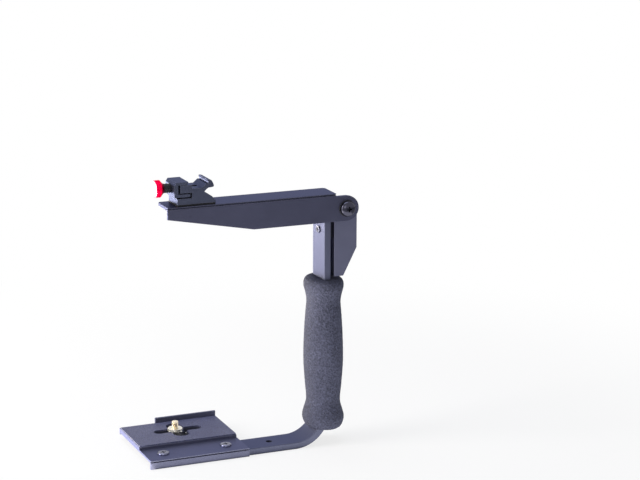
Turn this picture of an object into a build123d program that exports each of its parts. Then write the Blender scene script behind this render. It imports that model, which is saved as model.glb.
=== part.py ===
"""Camera flash bracket with a flip arm, made of separate pieces.

Millimetres, +Z up. The origin is the mouth of the tripod socket in the underside
of the bent bar. +X runs along the base to the post, and -Y is the front.
"""
import os

from build123d import *

os.makedirs("parts", exist_ok=True)

# Fits that several pieces share
overrun = 12.0  # how far a cut runs past the face it opens
running_fit = 0.05  # radial clearance of a shaft that turns in its bore
bolt_clearance = 0.15  # radial clearance of a fixed screw in its hole
slide_gap = 0.1  # between flat faces that turn or slide on each other

# Bent flat bar: base and post in one piece
bar_width = 28.6
bar_thickness = 6.35
bend_radius = 35.0  # outside of the bend
post_right = 57.35  # the post's right face, from the tripod socket
bar_edge = 0.6
tripod_radius = 3.175  # quarter inch camera thread

# Camera platform on the base
platform_length = 98.0
platform_right = -26.5
bar_end_inset = 6.9  # the bar's end under the platform
lip_thickness = 2.4
lip_gap = 0.1
strip_thickness = 2.0
shelf_front = 17.9
shelf_thickness = 4.45
shelf_depth = 59.2
back_lip_thickness = 2.2
back_lip_height = 6.0
back_lip_length = 62.0

# Head of the post and the pivot
pivot_from_post = 15.05
pivot_height = 232.8
head_gap = 3.5  # the spacer's thickness, between the post and the channel
head_wall = 3.0
head_reach = 11.6  # from the pivot to the channel's right edge
head_drop = 65.8
head_side_drop = 39.2
head_rear_drop = 10.0  # the back wall ends below the pivot, so that a spanner reaches the nut
head_foot_width = 9.55
head_screw_drops = (21.8, 6.8)  # below the pivot
pivot_radius = 3.0

# Flip arm: an angle section with a round end at the pivot
arm_length = 177.3
arm_width = 28.8
arm_flange = 2.6
arm_plate = 2.8
arm_side_gap = 0.5  # for the friction washer
arm_end_radius = 12.1
arm_plate_rise = 12.2  # from the pivot to the plate's underside
arm_plate_end = 11.0  # from the pivot back to the plate's end
arm_tip_height = 11.1
arm_taper_start = 93.5
rest_gap = 0.3  # from the bar's top end to the plate that rests there

# Flash shoe on the arm's tip
shoe_from_tip = 9.9
shoe_from_front = 13.7  # from the arm's front to the shoe's middle
shoe_length = 36.8
shoe_depth = 25.0
lock_from_shoe = 19.9
lock_radius = 3.175

# Places that follow from the sizes above
platform_left = platform_right - platform_length
bar_left = platform_left + bar_end_inset
post_left = post_right - bar_thickness
bend_x = post_right - bend_radius
pivot_x = post_right + pivot_from_post
bar_side = bar_width / 2
bar_top = pivot_height + arm_plate_rise - rest_gap
strip_top = bar_thickness + strip_thickness
shelf_top = bar_thickness + shelf_thickness
shelf_back = shelf_front + shelf_depth
platform_back = shelf_back + back_lip_thickness
head_bottom = pivot_height - head_drop
arm_front = -bar_side - arm_side_gap - arm_flange
arm_left = pivot_x - arm_length
arm_top = pivot_height + arm_plate_rise + arm_plate
arm_under = pivot_height + arm_plate_rise

# Bent bar
platform_screw_left_inset = 17.8  # from the platform's left end
platform_screw_right_inset = 17.7
platform_screw_radius = 3.0
head_screw_radius = 2.0
platform_screw_places = [
    (platform_left + platform_screw_left_inset, 0),
    (platform_right - platform_screw_right_inset, 0),
]
head_screw_places = [(post_left, 0, pivot_height - drop) for drop in head_screw_drops]

with BuildSketch(Plane.XZ) as bar_outline:
    with BuildLine():
        Line((bar_left, 0), (bend_x, 0))
        CenterArc((bend_x, bend_radius), bend_radius, -90, 90)
        Line((post_right, bend_radius), (post_right, bar_top))
        Line((post_right, bar_top), (post_left, bar_top))
        Line((post_left, bar_top), (post_left, bend_radius))
        CenterArc((bend_x, bend_radius), bend_radius - bar_thickness, 0, -90)
        Line((bend_x, bar_thickness), (bar_left, bar_thickness))
        Line((bar_left, bar_thickness), (bar_left, 0))
    make_face()

with BuildPart() as frame_bar:
    extrude(bar_outline.sketch, amount=bar_side, both=True)
    fillet(frame_bar.faces().sort_by(Axis.Y)[0].edges(), radius=bar_edge)
    fillet(frame_bar.faces().sort_by(Axis.Y)[-1].edges(), radius=bar_edge)
    with Locations((0, 0, 0)):
        Hole(tripod_radius)
    with Locations(*platform_screw_places):
        Hole(platform_screw_radius)
    for place in head_screw_places:
        with Locations(Plane(place, x_dir=(0, 1, 0), z_dir=(1, 0, 0))):
            Hole(head_screw_radius + bolt_clearance)
frame_bar.part.label = "frame_bar"
export_step(frame_bar.part, "parts/frame_bar.step")

# Foam grip: a moulded oval sleeve round the post, swollen at both ends
grip_bottom = 15.5
grip_head_gap = 2.5  # from the foam's top to the channel
grip_length = head_bottom - grip_head_gap - grip_bottom
grip_radius = 19.6  # half the widest part, along X
grip_flat = 8.0  # the straight stretch that makes the section oval along Y
grip_shift = 1.9  # the foam's middle, right of the post's
grip_fit = 0.2
grip_x = post_right - bar_thickness / 2 + grip_shift
grip_rise_shares = (0, 0.017, 0.068, 0.117, 0.177, 0.3, 0.45, 0.63, 0.755, 0.845, 0.896, 0.944, 0.98, 1)
grip_girth_shares = (0.74, 0.88, 1, 0.92, 0.8, 0.87, 0.94, 0.91, 0.85, 0.8, 0.86, 0.95, 0.91, 0.77)

with BuildPart() as grip:
    for rise_share, girth_share in zip(grip_rise_shares, grip_girth_shares):
        radius = grip_radius * girth_share
        left = grip_x - radius
        right = grip_x + radius
        with BuildSketch(Plane.XY.offset(grip_bottom + grip_length * rise_share)):
            with BuildLine():
                Line((right, -grip_flat / 2), (right, grip_flat / 2))
                CenterArc((grip_x, grip_flat / 2), radius, 0, 90)
                CenterArc((grip_x, grip_flat / 2), radius, 90, 90)
                Line((left, grip_flat / 2), (left, -grip_flat / 2))
                CenterArc((grip_x, -grip_flat / 2), radius, 180, 90)
                CenterArc((grip_x, -grip_flat / 2), radius, 270, 90)
            make_face()
    loft()
    with BuildSketch(Plane.XZ):
        add(bar_outline.sketch_local)
        offset(amount=grip_fit)
    extrude(amount=bar_side + grip_fit, both=True, mode=Mode.SUBTRACT)
grip.part.label = "grip"
export_step(grip.part, "parts/grip.step")

# Platform: one extruded section with a front lip, a raised shelf and a back lip
platform_edge = 0.4
rib_depth = 1.3
rib_width = 2.5
groove_drop = 0.6
groove_height = 1.4
groove_depth = 1.5
slot_off_middle = 0.6  # right of the platform's middle
slot_from_shelf = 32.4
long_slot_length = 47.2
long_slot_width = 9.0
cross_slot_length = 36.9
cross_slot_width = 14.6
slot_x = platform_left + platform_length / 2 + slot_off_middle
slot_y = shelf_front + slot_from_shelf
lip_front = -bar_side - lip_gap - lip_thickness
lip_back = -bar_side - lip_gap

with BuildPart() as platform:
    with BuildSketch(Plane.YZ.offset(platform_left)) as platform_section:
        with BuildLine():
            Polyline(
                (lip_front, 0),
                (lip_front, strip_top - groove_drop - groove_height),
                (lip_front + groove_depth, strip_top - groove_drop - groove_height),
                (lip_front + groove_depth, strip_top - groove_drop),
                (lip_front, strip_top - groove_drop),
                (lip_front, strip_top),
                (shelf_front, strip_top),
                (shelf_front, shelf_top),
                (shelf_back, shelf_top),
                (shelf_back, shelf_top + back_lip_height),
                (platform_back, shelf_top + back_lip_height),
                (platform_back, bar_thickness - rib_depth),
                (platform_back - rib_width, bar_thickness - rib_depth),
                (platform_back - rib_width, bar_thickness),
                (lip_back, bar_thickness),
                (lip_back, 0),
                close=True,
            )
        make_face()
        feet_and_rim = platform_section.vertices().group_by(Axis.Y)
        shelf_corner = platform_section.vertices().sort_by_distance((shelf_front, shelf_top))[0]
        fillet([*feet_and_rim[0], *feet_and_rim[-1], shelf_corner], radius=platform_edge)
    extrude(amount=platform_length)
    with Locations((platform_left, shelf_back, shelf_top)):
        Box(
            platform_length - back_lip_length,
            back_lip_thickness,
            back_lip_height,
            align=(Align.MIN, Align.MIN, Align.MIN),
            mode=Mode.SUBTRACT,
        )
    with BuildSketch(Plane.XY.offset(bar_thickness)):
        with Locations((slot_x, slot_y)):
            SlotOverall(long_slot_length, long_slot_width)
            SlotOverall(cross_slot_length, cross_slot_width, rotation=90)
    extrude(amount=shelf_thickness, mode=Mode.SUBTRACT)
    with Locations(*platform_screw_places):
        Hole(platform_screw_radius + bolt_clearance)
platform.part.label = "platform"
export_step(platform.part, "parts/platform.step")

# Pebbled rubber pad on the shelf, cut out a little wider than the slots
pad_thickness = 1.2
pad_inset = 0.3
pad_slot_margin = 0.6
pad_corner = 1.0
pad_top = shelf_top + pad_thickness

with BuildPart() as platform_pad:
    with BuildSketch(Plane.XY.offset(shelf_top)):
        with Locations((platform_left + platform_length / 2, shelf_front + shelf_depth / 2)):
            RectangleRounded(platform_length - 2 * pad_inset, shelf_depth - 2 * pad_inset, pad_corner)
        with Locations((slot_x, slot_y)):
            SlotOverall(
                long_slot_length + 2 * pad_slot_margin,
                long_slot_width + 2 * pad_slot_margin,
                mode=Mode.SUBTRACT,
            )
            SlotOverall(
                cross_slot_length + 2 * pad_slot_margin,
                cross_slot_width + 2 * pad_slot_margin,
                rotation=90,
                mode=Mode.SUBTRACT,
            )
    extrude(amount=pad_thickness)
platform_pad.part.label = "platform_pad"
export_step(platform_pad.part, "parts/platform_pad.step")

# Two low pan screws that hold the platform to the bar
platform_screw_head_radius = 5.6
platform_screw_head_height = 1.6
platform_screw_dome = 1.1
platform_screw_recess_width = 1.2
platform_screw_recess_length = 5.4
platform_screw_recess_depth = 1.2
platform_screw_end = 0.4  # the shank's end above the bar's underside

with BuildPart() as platform_screws:
    with BuildSketch(Plane.XY.offset(strip_top)):
        with Locations(*platform_screw_places):
            Circle(platform_screw_head_radius)
    extrude(amount=platform_screw_head_height)
    fillet(platform_screws.edges().group_by(Axis.Z)[-1], radius=platform_screw_dome)
    with BuildSketch(Plane.XY.offset(strip_top + platform_screw_head_height)):
        with Locations(*platform_screw_places):
            Rectangle(platform_screw_recess_length, platform_screw_recess_width)
            Rectangle(platform_screw_recess_width, platform_screw_recess_length)
    extrude(amount=-platform_screw_recess_depth, mode=Mode.SUBTRACT)
    with BuildSketch(Plane.XY.offset(platform_screw_end)):
        with Locations(*platform_screw_places):
            Circle(platform_screw_radius)
    extrude(amount=strip_top - platform_screw_end)
platform_screws.part.label = "platform_screws"
export_step(platform_screws.part, "parts/platform_screws.step")

# Head channel: an extruded U section, open to the right, whose front wall carries the pivot
head_edge = 0.4
head_left = post_right + head_gap
head_right = pivot_x + head_reach
head_inner = bar_side - head_wall

with BuildPart() as head_bracket:
    with BuildSketch(Plane.XZ):
        with BuildLine():
            Line((head_left, head_bottom), (head_left, pivot_height + head_reach))
            Line((head_left, pivot_height + head_reach), (pivot_x, pivot_height + head_reach))
            CenterArc((pivot_x, pivot_height), head_reach, 90, -90)
            Line((head_right, pivot_height), (head_right, pivot_height - head_side_drop))
            Line((head_right, pivot_height - head_side_drop), (head_left + head_foot_width, head_bottom))
            Line((head_left + head_foot_width, head_bottom), (head_left, head_bottom))
        make_face()
    extrude(amount=bar_side, both=True)
    fillet(head_bracket.faces().sort_by(Axis.Y)[0].edges(), radius=head_edge)
    fillet(head_bracket.faces().sort_by(Axis.Y)[-1].edges(), radius=head_edge)
    with Locations((head_left + head_wall, 0, head_bottom - overrun)):
        Box(
            head_right - head_left + overrun,
            2 * head_inner,
            head_drop + head_reach + 2 * overrun,
            align=(Align.MIN, Align.CENTER, Align.MIN),
            mode=Mode.SUBTRACT,
        )
    with Locations((head_left + head_wall, 0, pivot_height - head_rear_drop)):
        Box(
            head_right - head_left + overrun,
            bar_side + overrun,
            head_rear_drop + head_reach + overrun,
            align=(Align.MIN, Align.MIN, Align.MIN),
            mode=Mode.SUBTRACT,
        )
    for place in head_screw_places:
        with Locations(Plane(place, x_dir=(0, 1, 0), z_dir=(1, 0, 0))):
            Hole(head_screw_radius + bolt_clearance)
    with Locations(Plane((pivot_x, 0, pivot_height), x_dir=(1, 0, 0), z_dir=(0, -1, 0))):
        Hole(pivot_radius + bolt_clearance)
head_bracket.part.label = "head_bracket"
export_step(head_bracket.part, "parts/head_bracket.step")

# Spacer plate that holds the channel off the post
spacer_width = 17.0
spacer_margin = 8.0  # past each screw
spacer_corner = 3.0
spacer_length = max(head_screw_drops) - min(head_screw_drops) + 2 * spacer_margin
spacer_middle = pivot_height - (max(head_screw_drops) + min(head_screw_drops)) / 2

with BuildPart() as head_spacer:
    with BuildSketch(Plane.YZ.offset(post_right)):
        with Locations((0, spacer_middle)):
            RectangleRounded(spacer_width, spacer_length, spacer_corner)
        for drop in head_screw_drops:
            with Locations((0, pivot_height - drop)):
                Circle(head_screw_radius + bolt_clearance, mode=Mode.SUBTRACT)
    extrude(amount=head_gap)
head_spacer.part.label = "head_spacer"
export_step(head_spacer.part, "parts/head_spacer.step")

# Two pan screws through the post, the spacer and the channel
head_screw_head_radius = 3.6
head_screw_head_height = 1.4
head_screw_dome = 0.9
head_screw_recess_width = 0.9
head_screw_recess_length = 3.6
head_screw_recess_depth = 0.9
head_nut_thickness = 3.2
head_nut_width = 7.0  # across the flats
head_screw_tail = 1.0  # past the nut
head_nut_left = head_left + head_wall
head_screw_end = head_nut_left + head_nut_thickness + head_screw_tail
head_screw_spots = [(0, pivot_height - drop) for drop in head_screw_drops]

with BuildPart() as head_screws:
    with BuildSketch(Plane.YZ.offset(post_left)):
        with Locations(*head_screw_spots):
            Circle(head_screw_head_radius)
    extrude(amount=-head_screw_head_height)
    fillet(head_screws.edges().group_by(Axis.X)[0], radius=head_screw_dome)
    with BuildSketch(Plane.YZ.offset(post_left - head_screw_head_height)):
        with Locations(*head_screw_spots):
            Rectangle(head_screw_recess_length, head_screw_recess_width)
            Rectangle(head_screw_recess_width, head_screw_recess_length)
    extrude(amount=head_screw_recess_depth, mode=Mode.SUBTRACT)
    with BuildSketch(Plane.YZ.offset(post_left)):
        with Locations(*head_screw_spots):
            Circle(head_screw_radius)
    extrude(amount=head_screw_end - post_left)
head_screws.part.label = "head_screws"
export_step(head_screws.part, "parts/head_screws.step")

with BuildPart() as head_nuts:
    with BuildSketch(Plane.YZ.offset(head_nut_left)):
        with Locations(*head_screw_spots):
            RegularPolygon(head_nut_width / 2, 6, major_radius=False)
            Circle(head_screw_radius + running_fit, mode=Mode.SUBTRACT)
    extrude(amount=head_nut_thickness)
head_nuts.part.label = "head_nuts"
export_step(head_nuts.part, "parts/head_nuts.step")

# Flip arm: the flange hangs in front of the post, the plate lies on its top
arm_edge = 0.3
arm_groove_drop = 0.6
arm_groove_height = 1.3
arm_groove_depth = 1.4
plate_corner = 3.0
bush_radius = 4.5
plate_right = pivot_x - arm_plate_end
arm_end_top = pivot_height + arm_end_radius
arm_end_bottom = pivot_height - arm_end_radius
arm_tip_bottom = arm_top - arm_tip_height
shoe_left = arm_left + shoe_from_tip
shoe_y = arm_front + shoe_from_front
lock_x = shoe_left + lock_from_shoe
lock_hole_radius = lock_radius + bolt_clearance

with BuildPart() as flip_arm:
    with BuildSketch(Plane.XZ.offset(-arm_front)):
        with BuildLine():
            Line((arm_left, arm_top), (plate_right, arm_top))
            Line((plate_right, arm_top), (plate_right, arm_end_top))
            Line((plate_right, arm_end_top), (pivot_x, arm_end_top))
            CenterArc((pivot_x, pivot_height), arm_end_radius, 90, -90)
            CenterArc((pivot_x, pivot_height), arm_end_radius, 0, -90)
            Line((pivot_x, arm_end_bottom), (pivot_x - arm_taper_start, arm_end_bottom))
            Line((pivot_x - arm_taper_start, arm_end_bottom), (arm_left, arm_tip_bottom))
            Line((arm_left, arm_tip_bottom), (arm_left, arm_top))
        make_face()
    extrude(amount=-arm_flange)
    with Locations((arm_left, arm_front, arm_under)):
        Box(plate_right - arm_left, arm_width, arm_plate, align=(Align.MIN, Align.MIN, Align.MIN))
    fillet(flip_arm.edges().filter_by(Axis.Z).sort_by(Axis.Y)[-2:], radius=plate_corner)
    fillet(flip_arm.faces().sort_by(Axis.Y)[0].edges(), radius=arm_edge)
    with Locations((arm_left, arm_front, arm_top - arm_groove_drop)):
        Box(
            plate_right - arm_left,
            arm_groove_depth,
            arm_groove_height,
            align=(Align.MIN, Align.MIN, Align.MAX),
            mode=Mode.SUBTRACT,
        )
    with Locations(Plane((pivot_x, 0, pivot_height), x_dir=(1, 0, 0), z_dir=(0, -1, 0))):
        Hole(bush_radius)
    with Locations((lock_x, shoe_y, arm_top)):
        Hole(lock_hole_radius)
flip_arm.part.label = "flip_arm"
export_step(flip_arm.part, "parts/flip_arm.step")

# Pivot stack, from the front: screw, washer, arm with its bush, friction washer,
# the channel's front wall, spring washer and nut
pivot_head_radius = 7.4
pivot_head_height = 5.2
pivot_head_dome = 2.4
pivot_recess_width = 1.7
pivot_recess_length = 7.4
pivot_recess_depth = 3.0
pivot_washer_radius = 8.0
pivot_washer_thickness = 0.8
pivot_washer_edge = 0.25
friction_washer_radius = 10.0
lock_washer_radius = 5.2
lock_washer_thickness = 1.5
pivot_nut_width = 10.0
pivot_nut_thickness = 4.0
pivot_tail = 1.0
pivot_washer_y = arm_front - slide_gap
pivot_head_y = pivot_washer_y - pivot_washer_thickness
lock_washer_y = -head_inner
pivot_nut_y = lock_washer_y + lock_washer_thickness
pivot_end_y = pivot_nut_y + pivot_nut_thickness + pivot_tail
pivot_front = Plane((pivot_x, 0, pivot_height), x_dir=(1, 0, 0), z_dir=(0, -1, 0))

with BuildPart() as pivot_screw:
    with BuildSketch(pivot_front.offset(-pivot_head_y)):
        Circle(pivot_head_radius)
    extrude(amount=pivot_head_height)
    fillet(pivot_screw.edges().group_by(Axis.Y)[0], radius=pivot_head_dome)
    with BuildSketch(pivot_front.offset(-pivot_head_y + pivot_head_height)):
        Rectangle(pivot_recess_length, pivot_recess_width)
        Rectangle(pivot_recess_width, pivot_recess_length)
    extrude(amount=-pivot_recess_depth, mode=Mode.SUBTRACT)
    with BuildSketch(pivot_front.offset(-pivot_end_y)):
        Circle(pivot_radius)
    extrude(amount=pivot_end_y - pivot_head_y)
pivot_screw.part.label = "pivot_screw"
export_step(pivot_screw.part, "parts/pivot_screw.step")

with BuildPart() as pivot_washer:
    with BuildSketch(pivot_front.offset(-pivot_washer_y)):
        Circle(pivot_washer_radius)
        Circle(pivot_radius + running_fit, mode=Mode.SUBTRACT)
    extrude(amount=pivot_washer_thickness)
    fillet(pivot_washer.edges().group_by(Axis.Y)[0].sort_by(SortBy.LENGTH)[-1], radius=pivot_washer_edge)
pivot_washer.part.label = "pivot_washer"
export_step(pivot_washer.part, "parts/pivot_washer.step")

with BuildPart() as pivot_bush:
    with BuildSketch(pivot_front.offset(-arm_front - arm_flange)):
        Circle(bush_radius)
        Circle(pivot_radius + running_fit, mode=Mode.SUBTRACT)
    extrude(amount=arm_flange)
pivot_bush.part.label = "pivot_bush"
export_step(pivot_bush.part, "parts/pivot_bush.step")

with BuildPart() as pivot_friction_washer:
    with BuildSketch(pivot_front.offset(bar_side)):
        Circle(friction_washer_radius)
        Circle(pivot_radius + running_fit, mode=Mode.SUBTRACT)
    extrude(amount=arm_side_gap - slide_gap)
pivot_friction_washer.part.label = "pivot_friction_washer"
export_step(pivot_friction_washer.part, "parts/pivot_friction_washer.step")

with BuildPart() as pivot_lock_washer:
    with BuildSketch(pivot_front.offset(-pivot_nut_y)):
        Circle(lock_washer_radius)
        Circle(pivot_radius + running_fit, mode=Mode.SUBTRACT)
    extrude(amount=lock_washer_thickness)
pivot_lock_washer.part.label = "pivot_lock_washer"
export_step(pivot_lock_washer.part, "parts/pivot_lock_washer.step")

with BuildPart() as pivot_nut:
    with BuildSketch(pivot_front.offset(-pivot_nut_y - pivot_nut_thickness)):
        RegularPolygon(pivot_nut_width / 2, 6, major_radius=False)
        Circle(pivot_radius + running_fit, mode=Mode.SUBTRACT)
    extrude(amount=pivot_nut_thickness)
pivot_nut.part.label = "pivot_nut"
export_step(pivot_nut.part, "parts/pivot_nut.step")

# Shoe base: a fixed jaw on the right, and a block with ledges for the flash's foot
shoe_pad_thickness = 1.7
tongue_thickness = 2.8
tongue_gap_below = 1.3
tongue_gap_above = 0.9
base_step = 5.5  # the base plate's own thickness
slot_depth = 14.0
block_setback = 2.6
block_height = 7.3
foot_room = 20.0  # between the jaws' walls at rest
foot_height = 2.1
fixed_wall_from_left = 29.8
ledge_width = 1.8
floor_slope = 4.2
floor_drop = 3.5
lip_overhang = 0.7
lip_rise = 0.1
jaw_reach = 5.4
jaw_rise = 3.6
jaw_reach_shares = (-0.04, 0.28, 0.35, 0.44, 0.59, 0.83, 1, 0.94, 0.65, 0.02, -0.33, -0.7)
jaw_rise_shares = (1, 0.97, 0.83, 0.92, 0.78, 0.17, -0.5, -0.89, -0.97, -1.06, -1.39, -1.97)
toe_height = 1.9
toe_run = 3.6
toe_rise = 4.0
clamp_rise = 3.4
clamp_radius = 2.0
clamp_hole_depth = 10.4
shoe_bottom = arm_top + slide_gap + shoe_pad_thickness
base_top = shoe_bottom + base_step
tongue_bottom = base_top + tongue_gap_below
tongue_top = tongue_bottom + tongue_thickness
slot_top = tongue_top + tongue_gap_above
ledge_top = slot_top + block_height
slot_end = shoe_left + slot_depth
block_left = shoe_left + block_setback
fixed_wall = shoe_left + fixed_wall_from_left
shoe_right = shoe_left + shoe_length
lip_under = ledge_top + foot_height
floor_top = ledge_top - floor_drop
clamp_z = slot_top + clamp_rise
jaw_points = [
    (fixed_wall + jaw_reach * reach, ledge_top + jaw_rise * rise)
    for reach, rise in zip(jaw_reach_shares, jaw_rise_shares)
]
shoe_mid = Plane((0, shoe_y, 0), x_dir=(1, 0, 0), z_dir=(0, -1, 0))
shoe_corner = 0.5

with BuildPart() as shoe_base:
    with BuildSketch(shoe_mid):
        with BuildLine():
            Polyline(
                (shoe_left, shoe_bottom),
                (shoe_left, base_top),
                (slot_end, base_top),
                (slot_end, slot_top),
                (block_left, slot_top),
                (block_left, ledge_top),
                (slot_end, ledge_top),
                (slot_end, floor_top),
                (fixed_wall - ledge_width - floor_slope, floor_top),
                (fixed_wall - ledge_width, ledge_top),
                (fixed_wall, ledge_top),
                (fixed_wall, lip_under),
                (fixed_wall - lip_overhang, lip_under + lip_rise),
                *jaw_points,
                (shoe_right - toe_run, shoe_bottom + toe_height + toe_rise),
                (shoe_right, shoe_bottom + toe_height),
                (shoe_right, shoe_bottom),
                close=True,
            )
        make_face()
    extrude(amount=shoe_depth / 2, both=True)
    fillet(shoe_base.edges().filter_by(Axis.Z).group_by(Axis.X)[0], radius=shoe_corner)
    fillet(shoe_base.edges().filter_by(Axis.Z).group_by(Axis.X)[-1], radius=shoe_corner)
    with Locations((lock_x, shoe_y, base_top)):
        Hole(lock_radius + running_fit)
    with Locations(Plane((block_left, shoe_y, clamp_z), x_dir=(0, 1, 0), z_dir=(-1, 0, 0))):
        Hole(clamp_radius + running_fit, depth=clamp_hole_depth)
shoe_base.part.label = "shoe_base"
export_step(shoe_base.part, "parts/shoe_base.step")

with BuildPart() as shoe_pad:
    with BuildSketch(Plane.XY.offset(arm_top + slide_gap)):
        with Locations((shoe_left + shoe_length / 2, shoe_y)):
            RectangleRounded(shoe_length, shoe_depth, shoe_corner)
        with Locations((lock_x, shoe_y)):
            Circle(lock_hole_radius, mode=Mode.SUBTRACT)
    extrude(amount=shoe_pad_thickness)
shoe_pad.part.label = "shoe_pad"
export_step(shoe_pad.part, "parts/shoe_pad.step")

# Moving jaw: a C section that wraps the block, drawn in by the clamp screw
leg_gap = 1.6
leg_thickness = 3.8
jaw_lift = 0.25
jaw_arm = 2.7
jaw_lip = 0.9
jaw_chamfer_run = 1.9
jaw_chamfer_drop = 3.0
jaw_edge = 0.2
clip_recess_radius = 3.6
clip_recess_depth = 1.2
leg_right = block_left - leg_gap
leg_left = leg_right - leg_thickness
jaw_under = ledge_top + jaw_lift
jaw_top = jaw_under + jaw_arm
moving_wall = fixed_wall - foot_room

with BuildPart() as shoe_jaw:
    with BuildSketch(shoe_mid):
        with BuildLine():
            Polyline(
                (leg_left, tongue_bottom),
                (leg_left, jaw_top - jaw_chamfer_drop),
                (leg_left + jaw_chamfer_run, jaw_top),
                (moving_wall + jaw_lip, jaw_top),
                (moving_wall + jaw_lip, lip_under),
                (moving_wall, lip_under),
                (moving_wall, jaw_under),
                (leg_right, jaw_under),
                (leg_right, tongue_top),
                (slot_end - leg_gap, tongue_top),
                (slot_end - leg_gap, tongue_bottom),
                close=True,
            )
        make_face()
    extrude(amount=shoe_depth / 2, both=True)
    fillet(shoe_jaw.faces().sort_by(Axis.Y)[0].edges(), radius=jaw_edge)
    fillet(shoe_jaw.faces().sort_by(Axis.Y)[-1].edges(), radius=jaw_edge)
    with Locations(Plane((leg_right, shoe_y, clamp_z), x_dir=(0, 1, 0), z_dir=(1, 0, 0))):
        Hole(clip_recess_radius, depth=clip_recess_depth)
        Hole(clamp_radius + bolt_clearance, depth=leg_thickness + overrun)
shoe_jaw.part.label = "shoe_jaw"
export_step(shoe_jaw.part, "parts/shoe_jaw.step")

# Clamp: a screw with a red knob, its black sleeve, bright cap and retaining clip
clamp_tip_depth = 8.4
sleeve_radius = 4.4
sleeve_length = 6.7
knob_radius = 8.0
knob_length = 8.2
knob_rim = 5.2
knob_edge = 0.6
cap_radius = 7.0
cap_thickness = 0.9
cap_proud = 0.4
clip_radius = 3.4
clip_thickness = 0.8
sleeve_right = leg_left - slide_gap
knob_right = sleeve_right - sleeve_length
knob_left = knob_right - knob_length
cap_right = knob_left - cap_proud + cap_thickness
clip_left = leg_right - clip_recess_depth + slide_gap
clamp_axis = Plane((0, shoe_y, clamp_z), x_dir=(0, 1, 0), z_dir=(1, 0, 0))

with BuildPart() as clamp_screw:
    with BuildSketch(clamp_axis.offset(cap_right)):
        Circle(clamp_radius)
    extrude(amount=block_left + clamp_tip_depth - cap_right)
clamp_screw.part.label = "clamp_screw"
export_step(clamp_screw.part, "parts/clamp_screw.step")

with BuildPart() as clamp_sleeve:
    with BuildSketch(clamp_axis.offset(knob_right)):
        Circle(sleeve_radius)
        Circle(clamp_radius + running_fit, mode=Mode.SUBTRACT)
    extrude(amount=sleeve_length)
clamp_sleeve.part.label = "clamp_sleeve"
export_step(clamp_sleeve.part, "parts/clamp_sleeve.step")

with BuildPart() as clamp_knob:
    with BuildSketch(clamp_axis.offset(knob_left)):
        Circle(knob_radius)
    extrude(amount=knob_rim)
    fillet(clamp_knob.edges(), radius=knob_edge)
    with BuildSketch(clamp_axis.offset(knob_left + knob_rim)):
        Circle(knob_radius - knob_edge)
    with BuildSketch(clamp_axis.offset(knob_right)):
        Circle(sleeve_radius)
    loft()
    with Locations(clamp_axis.offset(knob_left)):
        Cylinder(cap_radius, 2 * (cap_thickness - cap_proud), mode=Mode.SUBTRACT)
        Cylinder(clamp_radius + running_fit, 2 * (knob_length + overrun), mode=Mode.SUBTRACT)
clamp_knob.part.label = "clamp_knob"
export_step(clamp_knob.part, "parts/clamp_knob.step")

with BuildPart() as clamp_cap:
    with BuildSketch(clamp_axis.offset(cap_right)):
        Circle(cap_radius - running_fit)
    extrude(amount=-cap_thickness)
    fillet(clamp_cap.edges().group_by(Axis.X)[0], radius=cap_proud / 2)
clamp_cap.part.label = "clamp_cap"
export_step(clamp_cap.part, "parts/clamp_cap.step")

with BuildPart() as clamp_clip:
    with BuildSketch(clamp_axis.offset(clip_left)):
        Circle(clip_radius)
        Circle(clamp_radius + running_fit, mode=Mode.SUBTRACT)
    extrude(amount=clip_thickness)
clamp_clip.part.label = "clamp_clip"
export_step(clamp_clip.part, "parts/clamp_clip.step")

# Lock: a stud through the arm into the shoe, turned by a knob under the arm
lock_washer_disc_radius = 7.5
lock_washer_disc_thickness = 1.0
lock_knob_radius = 10.0
lock_knob_height = 9.5
lock_hub_radius = 6.5
lock_hub_height = 3.4
lock_knob_edge = 0.9
lock_stud_in_shoe = 11.2  # up into the base
lock_stud_in_knob = 9.0
lock_disc_top = arm_under - slide_gap
lock_hub_top = lock_disc_top - lock_washer_disc_thickness
lock_knob_top = lock_hub_top - lock_hub_height
lock_axis = Plane((lock_x, shoe_y, 0))

with BuildPart() as shoe_lock_stud:
    with BuildSketch(lock_axis.offset(lock_hub_top - lock_stud_in_knob)):
        Circle(lock_radius)
    extrude(amount=shoe_bottom + lock_stud_in_shoe - lock_hub_top + lock_stud_in_knob)
shoe_lock_stud.part.label = "shoe_lock_stud"
export_step(shoe_lock_stud.part, "parts/shoe_lock_stud.step")

with BuildPart() as shoe_lock_washer:
    with BuildSketch(lock_axis.offset(lock_disc_top)):
        Circle(lock_washer_disc_radius)
        Circle(lock_radius + running_fit, mode=Mode.SUBTRACT)
    extrude(amount=-lock_washer_disc_thickness)
shoe_lock_washer.part.label = "shoe_lock_washer"
export_step(shoe_lock_washer.part, "parts/shoe_lock_washer.step")

with BuildPart() as shoe_lock_knob:
    with BuildSketch(lock_axis.offset(lock_knob_top)):
        Circle(lock_knob_radius)
    extrude(amount=-lock_knob_height)
    fillet(shoe_lock_knob.edges(), radius=lock_knob_edge)
    with BuildSketch(lock_axis.offset(lock_knob_top)):
        Circle(lock_hub_radius)
    extrude(amount=lock_hub_height)
    with Locations((lock_x, shoe_y, lock_hub_top)):
        Hole(lock_radius + running_fit, depth=lock_stud_in_knob)
shoe_lock_knob.part.label = "shoe_lock_knob"
export_step(shoe_lock_knob.part, "parts/shoe_lock_knob.step")

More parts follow.
